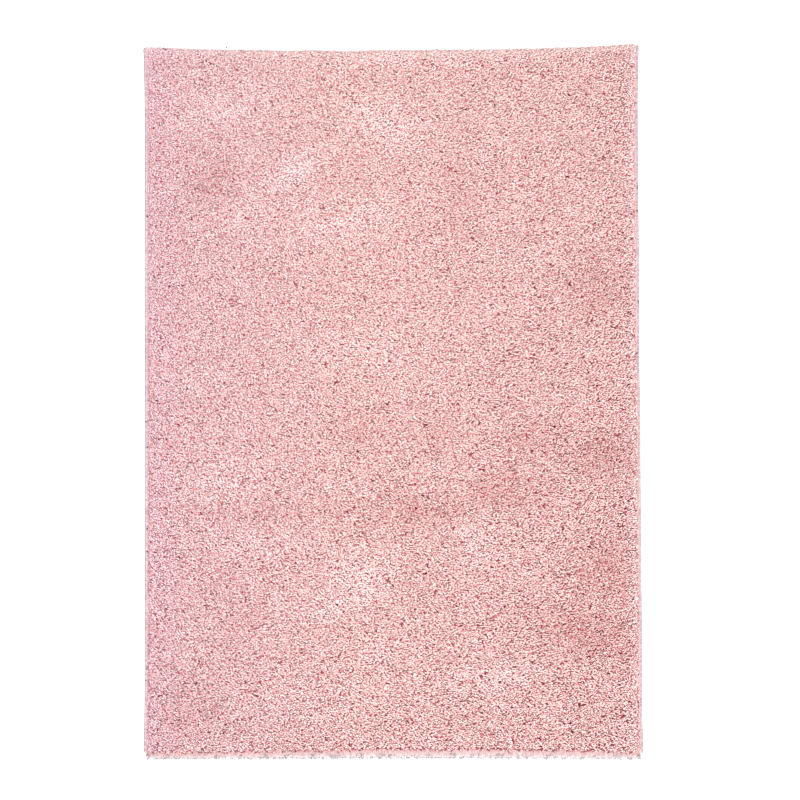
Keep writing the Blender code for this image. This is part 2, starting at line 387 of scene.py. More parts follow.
def pileBaseMaterial():
    # the shorter yarn between the tufts, in lying flecks with painted shade in the gaps between them, down
    # to the dark places where no tip covers it
    look = pileBaseLook
    material, tree, shader, place = newMaterial("pileDepths")
    split = axesOf(tree, place)
    bend = mathOf(tree, "MULTIPLY_ADD", split["X"], look["bendXX"], look["bendX"])
    bent = mathOf(tree, "MULTIPLY_ADD", bend, split["X"], split["Y"])
    narrow = product(tree, split["X"], 1 / look["fleckLength"])
    laid = addNode(tree, "ShaderNodeCombineXYZ", {0: narrow, 1: bent})
    flecks = addNode(tree, "ShaderNodeTexVoronoi",
                     {"Vector": laid, "Scale": 1 / look["fleckSize"], "Randomness": look["fleckLoose"]},
                     feature="DISTANCE_TO_EDGE").outputs["Distance"]
    uneven = rangeOf(tree, noiseOf(tree, place, look["unevenSize"]), look["unevenNoise"],
                     (-look["uneven"] / 2, look["uneven"] / 2))
    strands = mathOf(tree, "ADD", flecks, uneven)
    most = look["openShade"]
    shiftX = rangeOf(tree, split["X"], (cadLow.x, cadHigh.x), (most, -most))
    shiftY = rangeOf(tree, split["Y"], (cadLow.y, cadHigh.y), (-most, most))
    level = mathOf(tree, "ADD", mathOf(tree, "ADD", strands, shiftX), shiftY)
    # painted shade: dark at the fleck edges and towards the lower right
    colour = ramped(tree, level, look, "pitShade", "high", "low")
    # painted light where the foot slopes into shade at the top end and sides
    colour = colourMix(tree, readAttribute(tree, "slopeLight"), colour, look["slopeLight"])
    colour = hungColour(tree, place, pileTint(tree, place, colour))
    finishMaterial(tree, shader, look, colour, strands)
    return material


pileShape = {
    "pitch": 0.0077,  # between strands in a row, before they are shaken
    "rowStep": 0.00667,
    "shake": 0.12,  # share of the pitch
    "turnedBack": 0.015,  # strands this near to the right side fall back over the pile
    "sideInset": 0.0125,
    "bottomInset": 0.005,
    "topInset": 0.004,
    "curls": 14,
    "steps": (0.0060, 0.0070, 0.0035),  # lengths of a curl's bends, root to tip
    "tilts": ((5, 30), (50, 85), (70, 105)),  # degrees off upright at each bend
    "turns": ((0, 0), (-60, 60), (-90, 90)),  # degrees about upright from bend to bend
    "girths": (0.0017, 0.0016),  # at the two bends
    "wind": 50,  # degrees that the yarn's section turns at each bend
    "sizes": (0.95, 1.08),
    "nap": (0.0, -0.20),  # how the pile leans, as a slope
    "flow": 0.15,
    "flowSize": 0.09,
    "leftFall": -28,  # degrees: the way that the tips fall at the left, the right and the bottom
    "rightFall": 20,
    "bottomFall": 8,
    "acrossTurn": (0.7, 0.4),  # how fast that way turns across the rug, and how far it has at the middle
    "downTurn": (1.6, -0.4),  # and the same towards the bottom
    "fallSpread": 22,
    "endFall": (60, 50),  # the way that tips fall right beside the bottom end, and its spread
    "endReach": 0.010,
    "backSpread": (0.4, 1.6),  # how much of turnedBack counts, from strand to strand
    "rimReach": 0.013,  # how fast the loose lean of the strands at the bottom end fades inwards
    "rimStart": 1.3,  # and how strong it is at the very end, before it is held to 1
    "rimSway": 0.35,  # that lean along the bottom end and across it, as slopes
    "rimLean": (-0.4, 0.2),
    "rootDepth": 0.003,  # of a tuft's root below the top of the pile's foot
    "lowestRoot": 0.004,
    "tallStrand": 0.0125,
    "sideShade": 0.25,
    "topSlopeLight": 0.26,  # how much painted light lifts the shaded slope at the top end
    "topReach": 0.017,
    "sideSlopeLight": 0.14,
    "sideReach": 0.012,
    "lyingShade": 0.15,
    "lyingPaintedLight": (0.35, 0.5),  # painted light on a lying strand: how pale its root is, and how much paler its tip
    "strips": 5,
    "seed": 4,
    "seedStep": 10,
}


def curlMesh(name, shape, chance):
    # one strand of yarn: three-sided, from a root through two bends to a tip that falls towards +X
    path, turn = [Vector()], 0
    for step, tilt, swing in zip(shape["steps"], shape["tilts"], shape["turns"]):
        lean = math.radians(chance.uniform(*tilt))
        turn += math.radians(chance.uniform(*swing))
        away = Vector((math.sin(lean) * math.cos(turn), math.sin(lean) * math.sin(turn), math.cos(lean)))
        path.append(path[-1] + away * step)
    side = Vector((1, 0, 0))
    corners = [path[0]]
    for k in (1, 2):
        run = (path[k + 1] - path[k - 1]).normalized()
        side = (side - run * side.dot(run)).normalized()
        other = run.cross(side)
        for corner in range(3):
            angle = math.radians(120 * corner + shape["wind"] * k)
            outward = side * math.cos(angle) + other * math.sin(angle)
            corners.append(path[k] + outward * shape["girths"][k - 1])
    corners.append(path[3])
    faces = []
    for c in range(3):
        n = (c + 1) % 3
        faces += [(0, 1 + n, 1 + c), (1 + c, 1 + n, 4 + n, 4 + c), (4 + c, 4 + n, 7)]
    mesh = meshFrom(name, corners, faces)
    floatAttribute(mesh, "along", [0] + [1 / 3] * 3 + [2 / 3] * 3 + [1])
    floatAttribute(mesh, "corner", [1, 0, 1, 2, 0, 1, 2, 1])
    return mesh


patchEdge = 1.2  # how fast a patch fades outwards

# soft patches of painted light and shade where the pile is brushed up or down. Each row has the middle's x
# and y, half the length and half the width, the turn in degrees, and how pale the patch is
patchRows = [
    (-0.54, 0.96, 0.17, 0.07, 15, 0.7),
    (-0.04, 0.91, 0.14, 0.07, -25, 0.9),
    (-0.32, 0.75, 0.14, 0.05, 32, 0.9),
    (-0.14, 0.59, 0.19, 0.06, 14, 0.8),
    (-0.48, 0.59, 0.09, 0.06, 0, 0.4),
    (-0.58, 0.72, 0.08, 0.09, 0, -0.8),
    (0.20, 0.66, 0.05, 0.16, 0, -0.4),
    (0.44, 0.46, 0.10, 0.05, 0, 0.3),
    (0.65, 0.37, 0.13, 0.10, -15, -0.8),
    (-0.09, 0.17, 0.19, 0.08, 0, 0.5),
    (-0.64, 0.09, 0.09, 0.05, 0, 0.4),
    (-0.12, -0.09, 0.10, 0.06, 10, -0.7),
    (0.12, -0.11, 0.10, 0.05, 20, -0.5),
    (0.43, -0.12, 0.09, 0.07, 0, -0.6),
    (0.68, -0.17, 0.13, 0.09, 0, -1.0),
    (-0.56, -0.25, 0.12, 0.08, 20, 0.5),
    (0.36, -0.29, 0.12, 0.07, 0, -0.9),
    (0.07, -0.35, 0.15, 0.05, 0, -1.0),
    (-0.40, -0.35, 0.28, 0.03, 0, -0.5),
    (-0.45, -0.44, 0.14, 0.05, 0, 0.5),
    (-0.12, -0.58, 0.10, 0.08, 0, 1.1),
    (-0.25, -0.67, 0.13, 0.04, 5, 0.7),
    (0.25, -0.43, 0.09, 0.07, 0, 0.6),
    (0.67, -0.53, 0.09, 0.11, 0, -1.1),
    (0.63, -0.75, 0.20, 0.07, -18, -1.0),
    (-0.48, -0.70, 0.11, 0.07, 0, -0.35),
    (-0.64, -0.98, 0.11, 0.08, 0, -0.6),
    (-0.25, -0.95, 0.40, 0.10, 0, 0.2),
    (-0.05, -0.80, 0.12, 0.05, 0, 0.4),
    (0.30, -0.88, 0.18, 0.05, 0, 0.5),
    (0.00, 1.11, 0.50, 0.03, 0, 0.5),
]


def brushLightAt(x, y):
    lift = 0
    for middleX, middleY, long, wide, degrees, pale in patchRows:
        turn = math.radians(degrees)
        dx, dy = x - middleX, y - middleY
        u = (dx * math.cos(turn) + dy * math.sin(turn)) / long
        v = (dy * math.cos(turn) - dx * math.sin(turn)) / wide
        lift = lift + pale * np.exp(-patchEdge * (u * u + v * v))
    return np.clip(lift, -1, 1)


pileGaps = {
    "darkStep": 0.031,  # between places where short strands painted in shade mark the pile's dark gaps
    "darkShare": (0.20, 0.65),  # how many of them do, where the pile is dense and where it is open
    "darkMargins": (0.03, 0.06, 0.02),  # from the sides, the bottom and the top, before they are shaken
    "darkShake": 0.6,  # share of the step
    "darkSize": 0.0036,
    "darkStrands": 2,  # short ones in each place
    "darkSpread": 0.001,
    "darkGrowth": 0.7,
    "darkGapShade": 1.0,
    "clearShares": (0.3, 0.65, 1.0),  # where along their reach other strands stay off a dark place
    "rimStep": 0.012,  # between dark places along the bottom end
    "rimShake": 0.4,
    "rimSpread": 0.004,
    "rimInset": 0.006,
    "rimSway": 0.009,  # how unevenly the pile ends there
    "rimSwaySize": 0.024,
    "tipReach": 0.010,
    "size": 0.008,  # of a dark opening in the pile
    "openMiddle": 0.34,  # how open the pile is at the middle, as a share
    "openRight": 0.1,  # more at the right
    "openSides": 0.36,  # and at both sides
    "openTop": -0.45,  # less at the top
    "openLow": -0.4,  # and even below this share of the way up
    "calmLimit": 0.60,  # the pile parts where a noise is above this if it is dense
    "openLimit": 0.38,  # and this if it is open
    "edge": 0.12,
    "shorter": 0.45,  # share of its length that a strand in an opening lacks
}


def pileEnd(x):
    # the uneven line along the bottom end where the upright pile stops
    size = pileGaps["rimSwaySize"]
    return bottomEnd(x) + pileGaps["rimSway"] * np.array([noise.noise(Vector((a / size, 7, 0))) for a in x])


def opennessAt(x, y):
    # from 0 where the pile is dense, at the top's middle, to 1 where it is open, at the lower right
    gaps = pileGaps
    across, up = x / cadHigh.x, y / cadHigh.y
    sides = gaps["openMiddle"] + gaps["openRight"] * across + gaps["openSides"] * across ** 2
    return np.clip(sides + gaps["openTop"] * np.maximum(up, gaps["openLow"]), 0, 1)


def darkPlaces(dice):
    # where short strands painted in shade mark the pile's dark gaps: scattered ones, and a broken row above
    # the bottom end
    gaps = pileGaps
    step, shake, rimShake = gaps["darkStep"], gaps["darkShake"], gaps["rimShake"]
    side, bottom, top = gaps["darkMargins"]
    x = np.arange(cadLow.x + side, cadHigh.x - side, step)
    y = np.arange(cadLow.y + bottom, cadHigh.y - top, step)
    x, y = [v.ravel() + step * dice.uniform(-shake, shake, v.size) for v in np.meshgrid(x, y)]
    low, high = gaps["darkShare"]
    kept = dice.uniform(0, 1, len(x)) < low + (high - low) * opennessAt(x, y)
    rimX = np.arange(cadLow.x + side, cadHigh.x - side, gaps["rimStep"])
    rimX = rimX + gaps["rimStep"] * dice.uniform(-rimShake, rimShake, len(rimX))
    rimY = pileEnd(rimX) + gaps["rimInset"] + gaps["rimSpread"] * dice.uniform(-1, 1, len(rimX))
    return np.column_stack([np.concatenate([x[kept], rimX]), np.concatenate([y[kept], rimY])])


def clearOf(darks, x, y, fall):
    # strands whose foot, middle and tip stay off every dark place
    tree = kdtree.KDTree(len(darks))
    for k, (a, b) in enumerate(darks):
        tree.insert((a, b, 0), k)
    tree.balance()
    clear = np.ones(len(x), bool)
    for share in pileGaps["clearShares"]:
        reach = share * pileGaps["tipReach"]
        places = zip(x + reach * np.cos(fall), y + reach * np.sin(fall))
        clear &= np.array([tree.find((a, b, 0))[2] > pileGaps["darkSize"] for a, b in places])
    return clear


def openingAt(x, y):
    # from 0 to 1 where the pile parts, so that its dark foot shows
    gaps = pileGaps
    share = opennessAt(x, y)
    limit = gaps["calmLimit"] + (gaps["openLimit"] - gaps["calmLimit"]) * share
    level = np.array([noise.noise(Vector((a, b, 0)) / gaps["size"]) for a, b in zip(x, y)])
    return np.clip((level - limit) / gaps["edge"], 0, 1)


def betweenEdges(s, t, sideInset, bottomInset, topInset):
    # from shares across and along the rug to places between its uneven edges
    plainX = cadLow.x + s * (cadHigh.x - cadLow.x)
    low, high = bottomEnd(plainX) + bottomInset, topEnd(plainX) - topInset
    y = low + t * (high - low)
    left, right = leftOuter(y) + sideInset, rightOuter(y) - sideInset
    return left + s * (right - left), y


def edgeDistance(x, y):
    # how far inside the sides and the ends
    side = np.minimum(x - leftOuter(y), rightOuter(y) - x) - pileShape["sideInset"]
    end = np.minimum(y - bottomEnd(x), topEnd(x) - y)
    return side, end


pileHang = {
    "reach": 0.0245,  # from the cloth's bottom end to where the pile that hangs over it stops
    "follow": 0.25,  # share of the cloth's unevenness that shows there
    "fray": 0.0050,
    "fraySize": 0.018,
}


def hangEnd(x):
    shape = pileHang
    end = bottomEnd(x)
    ragged = [noise.noise(Vector((a / shape["fraySize"], 0, 0))) for a in x]
    line = end.mean() + shape["follow"] * (end - end.mean()) - shape["reach"]
    return line + shape["fray"] * np.array(ragged)


def hangAt(places):
    # from 0 where the upright pile stops to 1 at the very end
    x, y = places[:, 0], places[:, 1]
    start = pileEnd(x)
    return np.clip((start - y) / (start - hangEnd(x)), 0, 1)


pileBaseShape = {
    "cells": (80, 115),
    "edgeSteps": (0.0, 0.0023, 0.0045, 0.0075),  # from the rim inwards, before the even cells start
    "evenFrom": 0.0110,
    "foot": 0.0034,
    "rim": 0.0055,
    "depth": 0.0048,  # below the tops of the strands
    "roundOver": 0.009,
    "sideInset": 0.0102,
    "topInset": -0.0026,  # over the cloth's cut end
    "bottomInset": 0.0045,
}


def baseHeight(x, y):
    shape = pileBaseShape
    end = np.minimum(y - hangEnd(x) - shape["bottomInset"], topEnd(x) - y - shape["topInset"])
    inside = np.clip(np.minimum(edgeDistance(x, y)[0], end) / shape["roundOver"], 0, 1)
    top = crownAt(x, y, shape["rim"] + shape["depth"]) - shape["depth"]
    return shape["rim"] + (np.maximum(top, shape["rim"]) - shape["rim"]) * np.sin(inside * math.pi / 2)


def baseShares(cells, size):
    # the grid's places from 0 to 1 across a size, closer together at both edges
    near = np.array(pileBaseShape["edgeSteps"]) / size
    first = pileBaseShape["evenFrom"] / size
    even = np.linspace(first, 1 - first, cells + 1)
    return np.concatenate([near, even, 1 - near[::-1]])


def addPileBase(material):
    # the dense foot of the pile, a closed lumpy slab that the tufts stand in
    shape = pileBaseShape
    columns = baseShares(shape["cells"][0], cadHigh.x - cadLow.x)
    rows = baseShares(shape["cells"][1], cadHigh.y - cadLow.y)
    across, along = len(columns) - 1, len(rows) - 1
    s, t = [v.ravel() for v in np.meshgrid(columns, rows)]
    plainX = cadLow.x + s * (cadHigh.x - cadLow.x)
    hang = hangEnd(plainX) - bottomEnd(plainX) + shape["bottomInset"]
    x, y = betweenEdges(s, t, shape["sideInset"], hang, shape["topInset"])
    top = np.column_stack([x, y, baseHeight(x, y)])
    row = across + 1
    rim = [*range(row), *range(2 * row - 1, row * (along + 1), row),
           *range(row * (along + 1) - 2, row * along - 1, -1), *range(row * (along - 1), 0, -row)]
    foot = top[rim] * (1, 1, 0) + (0, 0, shape["foot"])
    faces = [(k, k + 1, k + 1 + row, k + row) for k in range(row * along) if k % row != across]
    start, count = len(top), len(rim)
    for k in range(count):
        n = (k + 1) % count
        faces.append((rim[n], rim[k], start + k, start + n))
    faces.append(tuple(start + k for k in reversed(range(count))))
    points = np.vstack([top, foot])
    mesh = meshFrom("pile_base", points, faces)
    floatAttribute(mesh, "brushLight", brushLightAt(points[:, 0], points[:, 1]))
    floatAttribute(mesh, "slopeLight", paleAt(points))
    floatAttribute(mesh, "hang", hangAt(points))
    mesh.materials.append(material)
    return newPiece("pile_base", mesh)


def tuftRoots(dice):
    # places of all tufts: shaken rows, every other one moved on by half a step, between the uneven edges
    shape = pileShape
    columns = round((cadHigh.x - cadLow.x) / shape["pitch"])
    rows = round((cadHigh.y - cadLow.y) / shape["rowStep"])
    s, t = [v.ravel() for v in np.meshgrid(np.arange(columns), np.arange(rows))]
    s = (s + 0.25 + 0.5 * (t % 2) + shape["shake"] * dice.uniform(-1, 1, len(s))) / columns
    t = (t + 0.5 + shape["shake"] * dice.uniform(-1, 1, len(t))) / rows
    s, t = np.clip(s, 0, 1), np.clip(t, 0, 1)
    plainX = cadLow.x + s * (cadHigh.x - cadLow.x)
    bottomInset = shape["bottomInset"] + pileEnd(plainX) - bottomEnd(plainX)
    return betweenEdges(s, t, shape["sideInset"], bottomInset, shape["topInset"])


def leanAt(x, y, dice):
    # slope of each tuft: the nap, a wandering flow, and the way it stands at the bottom end
    shape = pileShape
    flow = [[noise.noise(Vector((a, b, level)) / shape["flowSize"]) for level in (0, 1)]
            for a, b in zip(x, y)]
    lean = np.array(shape["nap"]) + shape["flow"] * np.array(flow)
    rim = np.clip(shape["rimStart"] - (y - bottomEnd(x)) / shape["rimReach"], 0, 1)[:, None]
    sway = dice.normal(0, shape["rimSway"], len(x))
    out = np.column_stack([sway, dice.uniform(*shape["rimLean"], len(x))])
    lean = lean * (1 - rim) + out * rim
    return np.column_stack([lean, np.ones(len(x))])


def fallAt(x, y, dice):
    # the way that each tip falls, in radians: along a slowly turning line, but in from the right side
    # and from the bottom end
    shape = pileShape
    rate, start = shape["acrossTurn"]
    share = np.clip(x / cadHigh.x * rate + start, 0, 1)
    line = shape["leftFall"] + (shape["rightFall"] - shape["leftFall"]) * share
    rate, start = shape["downTurn"]
    down = np.clip(-y / cadHigh.y * rate + start, 0, 1)
    line = line + (shape["bottomFall"] - line) * down
    side, end = edgeDistance(x, y)
    back = (x > 0) & (side < shape["turnedBack"] * dice.uniform(*shape["backSpread"], len(x)))
    fall = line + 180 * back + dice.normal(0, shape["fallSpread"], len(x))
    middle, spread = shape["endFall"]
    inward = middle + dice.normal(0, spread, len(x))
    return np.radians(np.where((end < shape["endReach"]) & (y < 0), inward, fall))


def tuftTree():
    tree, given = newTree("growTufts", [
        ("Roots", "Geometry"), ("Curls", "Collection"), ("Last curl", "Int"), ("Smallest", "Float"),
        ("Largest", "Float"), ("Seed", "Int"), ("Yarn", "Material")])
    parts = addNode(tree, "GeometryNodeCollectionInfo",
                    {0: given["Curls"], "Separate Children": True, "Reset Children": True})
    upright = addNode(tree, "FunctionNodeAlignRotationToVector",
                      {"Vector": namedValue(tree, "lean", "FLOAT_VECTOR")}, axis="Z")
    spin = addNode(tree, "FunctionNodeAxisAngleToRotation", {0: (0, 0, 1), 1: namedValue(tree, "fall")})
    turned = addNode(tree, "FunctionNodeRotateRotation", {0: spin, 1: upright}, rotation_space="GLOBAL")
    seeds = [addNode(tree, "FunctionNodeIntegerMath", {0: given["Seed"], 1: n}, operation="ADD")
             for n in range(3)]
    size = randomValue(tree, given["Smallest"], given["Largest"], seeds[0])
    planted = addNode(tree, "GeometryNodeInstanceOnPoints", {
        "Points": given["Roots"], "Instance": parts, "Pick Instance": True,
        "Instance Index": randomValue(tree, 0, given["Last curl"], seeds[1], "INT"),
        "Rotation": turned, "Scale": product(tree, size, namedValue(tree, "growth"))})
    shaded = storedValue(tree, planted, "shade", randomValue(tree, 0.0, 1.0, seeds[2]))
    endTree(tree, shaded, given["Yarn"])
    return tree


def curlShelf(name, shape, chance):
    # the few strands that all others are copies of
    shelf = bpy.data.collections.new(name)
    for k in range(shape["curls"]):
        curl = f"{name}_{k:02d}"
        shelf.objects.link(bpy.data.objects.new(curl, curlMesh(curl, shape, chance)))
    return shelf


def attributeValues(mesh, name, width):
    found = np.empty(len(mesh.vertices) * width, np.float32)
    mesh.attributes[name].data.foreach_get("vector" if width == 3 else "value", found)
    return found.reshape(-1, width)


def paleAt(places):
    # painted light: how much paler the pile is made at its top end and sides, where its slopes fall into
    # shade
    shape = pileShape
    x, y = places[:, 0], places[:, 1]
    top = np.clip(1 - (topEnd(x) - y) / shape["topReach"], 0, 1)
    side = np.clip(1 - edgeDistance(x, y)[0] / shape["sideReach"], 0, 1)
    return shape["topSlopeLight"] * top + shape["sideSlopeLight"] * side


def settleStrands(piece, lying):
    # what would hang below the floor lies on it, and each point gets a painted light level: painted shade
    # near the root and on a strand's sides, and painted light at the pile's top end and sides
    mesh = piece.data
    places = attributeValues(mesh, "position", 3)
    height, least, soft = places[:, 2], 0.0005, 0.0050
    pressed = least + (soft - least) * np.exp((height - soft) / (soft - least))
    places[:, 2] = np.where(height < soft, pressed, height)
    mesh.attributes["position"].data.foreach_set("vector", places.ravel())
    mesh.update()
    facing = np.empty(len(mesh.vertices) * 3, np.float32)
    mesh.vertex_normals.foreach_get("vector", facing)
    if lying:
        low, more = pileShape["lyingPaintedLight"]
        paintedLight = low + more * attributeValues(mesh, "along", 1)[:, 0]
    else:
        paintedLight = (height - attributeValues(mesh, "root", 3)[:, 2]) / pileShape["tallStrand"]
    sideShade = pileShape["lyingShade" if lying else "sideShade"]
    paintedLight = paintedLight - sideShade * (1 - facing[2::3]) + paleAt(places)
    floatAttribute(mesh, "paintedLight", np.clip(paintedLight, 0, 1))
    floatAttribute(mesh, "hang", hangAt(places))


bakeLayout = {
    "cells": 32,  # a side, in the texture layout of yarn pieces
    "margin": 0.1,  # shares of a cell
    "reach": (0.7, 0.65),
    "cornerShift": (0.03, 0.05),
}


def layOutForBaking(piece):
    # strands that grow near each other share a cell of the texture: root to tip across it, and light to
    # dark up it
    mesh, cells = piece.data, bakeLayout["cells"]
    root = attributeValues(mesh, "root", 3)[:, :2]
    low, high = root.min(0), root.max(0) + 1e-6  # so that the last root is in the last cell
    size = high - low
    across = np.clip(round(cells * math.sqrt(size[0] / size[1])), 1, cells * cells)
    grid = np.array([across, cells * cells // across])
    cell = np.floor((root - low) / size * grid).astype(int)
    cell = cell[:, 1] * grid[0] + cell[:, 0]
    corner = attributeValues(mesh, "corner", 1)
    inCell = np.column_stack([attributeValues(mesh, name, 1) for name in ("along", "shade")])
    inCell = bakeLayout["margin"] + bakeLayout["reach"] * inCell + bakeLayout["cornerShift"] * corner
    places = (np.column_stack([cell % cells, cell // cells]) + inCell) / cells
    loops = np.empty(len(mesh.loops), np.int32)
    mesh.loops.foreach_get("vertex_index", loops)
    mesh.uv_layers.new(name="OFBake").data.foreach_set("uv", places[loops].ravel())


def plantStrands(name, facts, tree, curls, sizes, seed, material, lying=False):
    # each row of facts: a strand's root, lean, fall, brushed patch light, growth and its painted gap shade
    mesh = meshFrom("roots", facts[:, :3], [])
    vectorAttribute(mesh, "root", facts[:, :3])
    vectorAttribute(mesh, "lean", facts[:, 3:6])
    for k, label in enumerate(("fall", "brushLight", "growth", "gapShade")):
        floatAttribute(mesh, label, facts[:, 6 + k])
    values = {"Curls": curls, "Last curl": len(curls.objects) - 1, "Smallest": sizes[0],
              "Largest": sizes[1], "Seed": seed, "Yarn": material}
    piece = applyTree(newPiece("roots", mesh), tree, values, name)
    settleStrands(piece, lying)
    layOutForBaking(piece)
    print(name, "strands", len(facts), "faces", len(piece.data.polygons))
    return piece


def growPile(tree, material):
    shape, gaps = pileShape, pileGaps
    dice = np.random.default_rng(shape["seed"])
    curls = curlShelf("curl", shape, random.Random(shape["seed"]))
    x, y = tuftRoots(dice)
    fall = fallAt(x, y, dice)
    darks = darkPlaces(dice)
    clear = clearOf(darks, x, y, fall)
    x, y, fall = x[clear], y[clear], fall[clear]
    growth = 1 - gaps["shorter"] * openingAt(x, y)
    count = gaps["darkStrands"] * len(darks)
    darks = np.repeat(darks, gaps["darkStrands"], axis=0)
    darks = darks + dice.uniform(-gaps["darkSpread"], gaps["darkSpread"], (count, 2))
    # short strands painted in shade at the dark gaps
    short = np.column_stack([darks, dice.uniform(0, 2 * math.pi, count),
                             np.tile((gaps["darkGrowth"], gaps["darkGapShade"]), (count, 1))])
    x, y, fall, growth, gapShade = np.vstack([np.column_stack([x, y, fall, growth, np.zeros(len(x))]), short]).T
    z = np.maximum(baseHeight(x, y) - shape["rootDepth"], shape["lowestRoot"])
    facts = np.column_stack([x, y, z, leanAt(x, y, dice), fall, brushLightAt(x, y), growth, gapShade])
    facts = facts[np.argsort(facts[:, 0])]
    pieces = [plantStrands(f"pile_tufts_{k + 1}", part, tree, curls, shape["sizes"],
                           shape["seed"] + shape["seedStep"] * k, material)
              for k, part in enumerate(np.array_split(facts, shape["strips"]))]
    removeAll(curls.objects)
    return pieces


rimShape = {
    "curls": 10,
    "steps": (0.0045, 0.0045, 0.0020),
    "tilts": ((0, 12), (12, 35), (25, 60)),
    "turns": ((0, 0), (-50, 50), (-60, 60)),
    "girths": (0.0020, 0.0018),
    "wind": 50,
    "sizes": (0.85, 1.1),
    "pitch": 0.0043,
    "sideInset": 0.0095,
    "insetSpread": 0.0015,
    "angleSpread": 10,
    "fallSpread": 45,
    "sway": 0.30,
    "scallop": 0.030,  # from one lump of the rim to the next
    "scallopDepth": 0.25,
    "wander": 3,  # radians by which the lumps shift along the rim
    "wanderSize": 0.1,
    "seed": 21,
}

# rows of strands that lie out over the cloth's cut ends. Each row has its end (1 is the top and -1 the
# bottom), the inset, height and angle of its roots, and the length of its strands
rimRows = [
    (-1, 0.005, 0.0020, 2, 0.90),
    (-1, 0.008, 0.0045, 5, 0.95),
    (-1, 0.013, 0.0055, 8, 0.95),
    (-1, 0.018, 0.0060, 10, 1.00),
    (-1, 0.023, 0.0060, 14, 0.95),
    (1, 0.001, 0.0035, 10, 0.80),
    (1, 0.003, 0.0055, 45, 0.90),
]


def growRim(tree, material):
    shape = rimShape
    dice = np.random.default_rng(shape["seed"])
    curls = curlShelf("rimCurl", shape, random.Random(shape["seed"]))
    low, high = cadLow.x + shape["sideInset"], cadHigh.x - shape["sideInset"]
    count = round((high - low) / shape["pitch"])
    facts = []
    for end, inset, height, tilt, length in rimRows:
        x = low + (high - low) * (np.arange(count) + dice.uniform(0, 1, count)) / count
        line = hangEnd if end < 0 else topEnd
        y = line(x) - end * (inset + shape["insetSpread"] * dice.uniform(-1, 1, count))
        within = (x > leftOuter(y) + shape["sideInset"]) & (x < rightOuter(y) - shape["sideInset"])
        angle = np.radians(tilt + shape["angleSpread"] * dice.uniform(-1, 1, count))
        lean = np.column_stack([dice.normal(0, shape["sway"], count), end * np.cos(angle), np.sin(angle)])
        fall = np.radians(end * 90 + dice.normal(0, shape["fallSpread"], count))
        wander = np.array([noise.noise(Vector((a, end, 0)) / shape["wanderSize"]) for a in x])
        lump = np.abs(np.sin(math.pi * x / shape["scallop"] + shape["wander"] * wander))
        growth = length * (1 - shape["scallopDepth"] * (1 - lump))
        z, gapShade = np.full(count, height), np.zeros(count)
        facts.append(np.column_stack([x, y, z, lean, fall, brushLightAt(x, y), growth, gapShade])[within])
    piece = plantStrands("pile_rim", np.vstack(facts), tree, curls, shape["sizes"], shape["seed"], material,
                         lying=True)
    removeAll(curls.objects)
    return piece


yarn = yarnMaterial()
tufting = tuftTree()
pilePieces = [addPileBase(pileBaseMaterial()), *growPile(tufting, yarn), growRim(tufting, yarn)]
for piece in pilePieces:
    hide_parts("shag_pile")
    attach(piece, "root")


edging = {
    "beadWidth": 0.0096,
    "beadHeight": 0.0052,
    "coreShare": 0.72,  # of the bead's width and height
    "coreShade": 0.2,
    "pitch": 0.0050,  # from stitch to stitch
    "loose": ((0.96, 0.8, 0.96), (1.0, 1.1, 1.0)),  # least and most of each stitch's sizes
    "threadWidth": 0.0058,
    "threadHeight": 0.0011,
    "slant": 0.0024,
    "sides": 8,
    "stations": 120,
    "pale": (0.62, 0.47, 0.50),
    "paleAt": 0.60,
    "dark": (0.30, 0.16, 0.20),
    "darkAt": 0.20,
    "shadeShift": 0.15,  # from stitch to stitch
    "outerShade": -0.55,  # painted shade: how much darker the bead's outer side is
    "outerShadeFrom": 0.45,
    "leftCast": (0.79, 0.84, 0.82),  # painted light: a cooler cast on the left edge than on the right one
    "rightCast": (0.73, 0.79, 0.77),
    "strandSize": 0.0010,
    "relief": 0.0004,
    "roughness": 0.75,
    "specular": 0.5,
    "seed": 9,
}


def edgingMaterial():
    # plied yarn wound over the rug's long sides
    look = edging
    material, tree, shader, place = newMaterial("edgingYarn")
    strands = noiseOf(tree, place, look["strandSize"], 3.0)
    shade = rangeOf(tree, readAttribute(tree, "shade"), (0, 1), (-look["shadeShift"], look["shadeShift"]))
    side = mathOf(tree, "SIGN", axesOf(tree, place)["X"])
    outward = product(tree, readAttribute(tree, "sideways"), side)
    # painted shade on the bead's outer side
    outerShade = rangeOf(tree, outward, (look["outerShadeFrom"], 1.0), (0.0, look["outerShade"]))
    level = mathOf(tree, "ADD", mathOf(tree, "ADD", strands, shade), outerShade)
    colour = ramped(tree, level, look, "dark", "pale")
    # painted light: a cool cast on the left bead and a warmer one on the right
    cast = colourMix(tree, rangeOf(tree, side, (-1, 1)), look["leftCast"], look["rightCast"])
    finishMaterial(tree, shader, look, colourMix(tree, 1.0, colour, cast, "MULTIPLY"), strands)
    return material


def roundAt(turn, width, height):
    # a place on the bead's oval section and the way that it faces there
    a = 2 * math.pi * turn
    place = np.array([math.cos(a) * width / 2, 0, math.sin(a) * height / 2])
    facing = np.array([math.cos(a) * height, 0, math.sin(a) * width])
    return place, facing / np.linalg.norm(facing)


def markEdging(mesh, facts):
    for k, label in enumerate(("along", "corner", "sideways")):
        floatAttribute(mesh, label, [fact[k] for fact in facts])
    return mesh


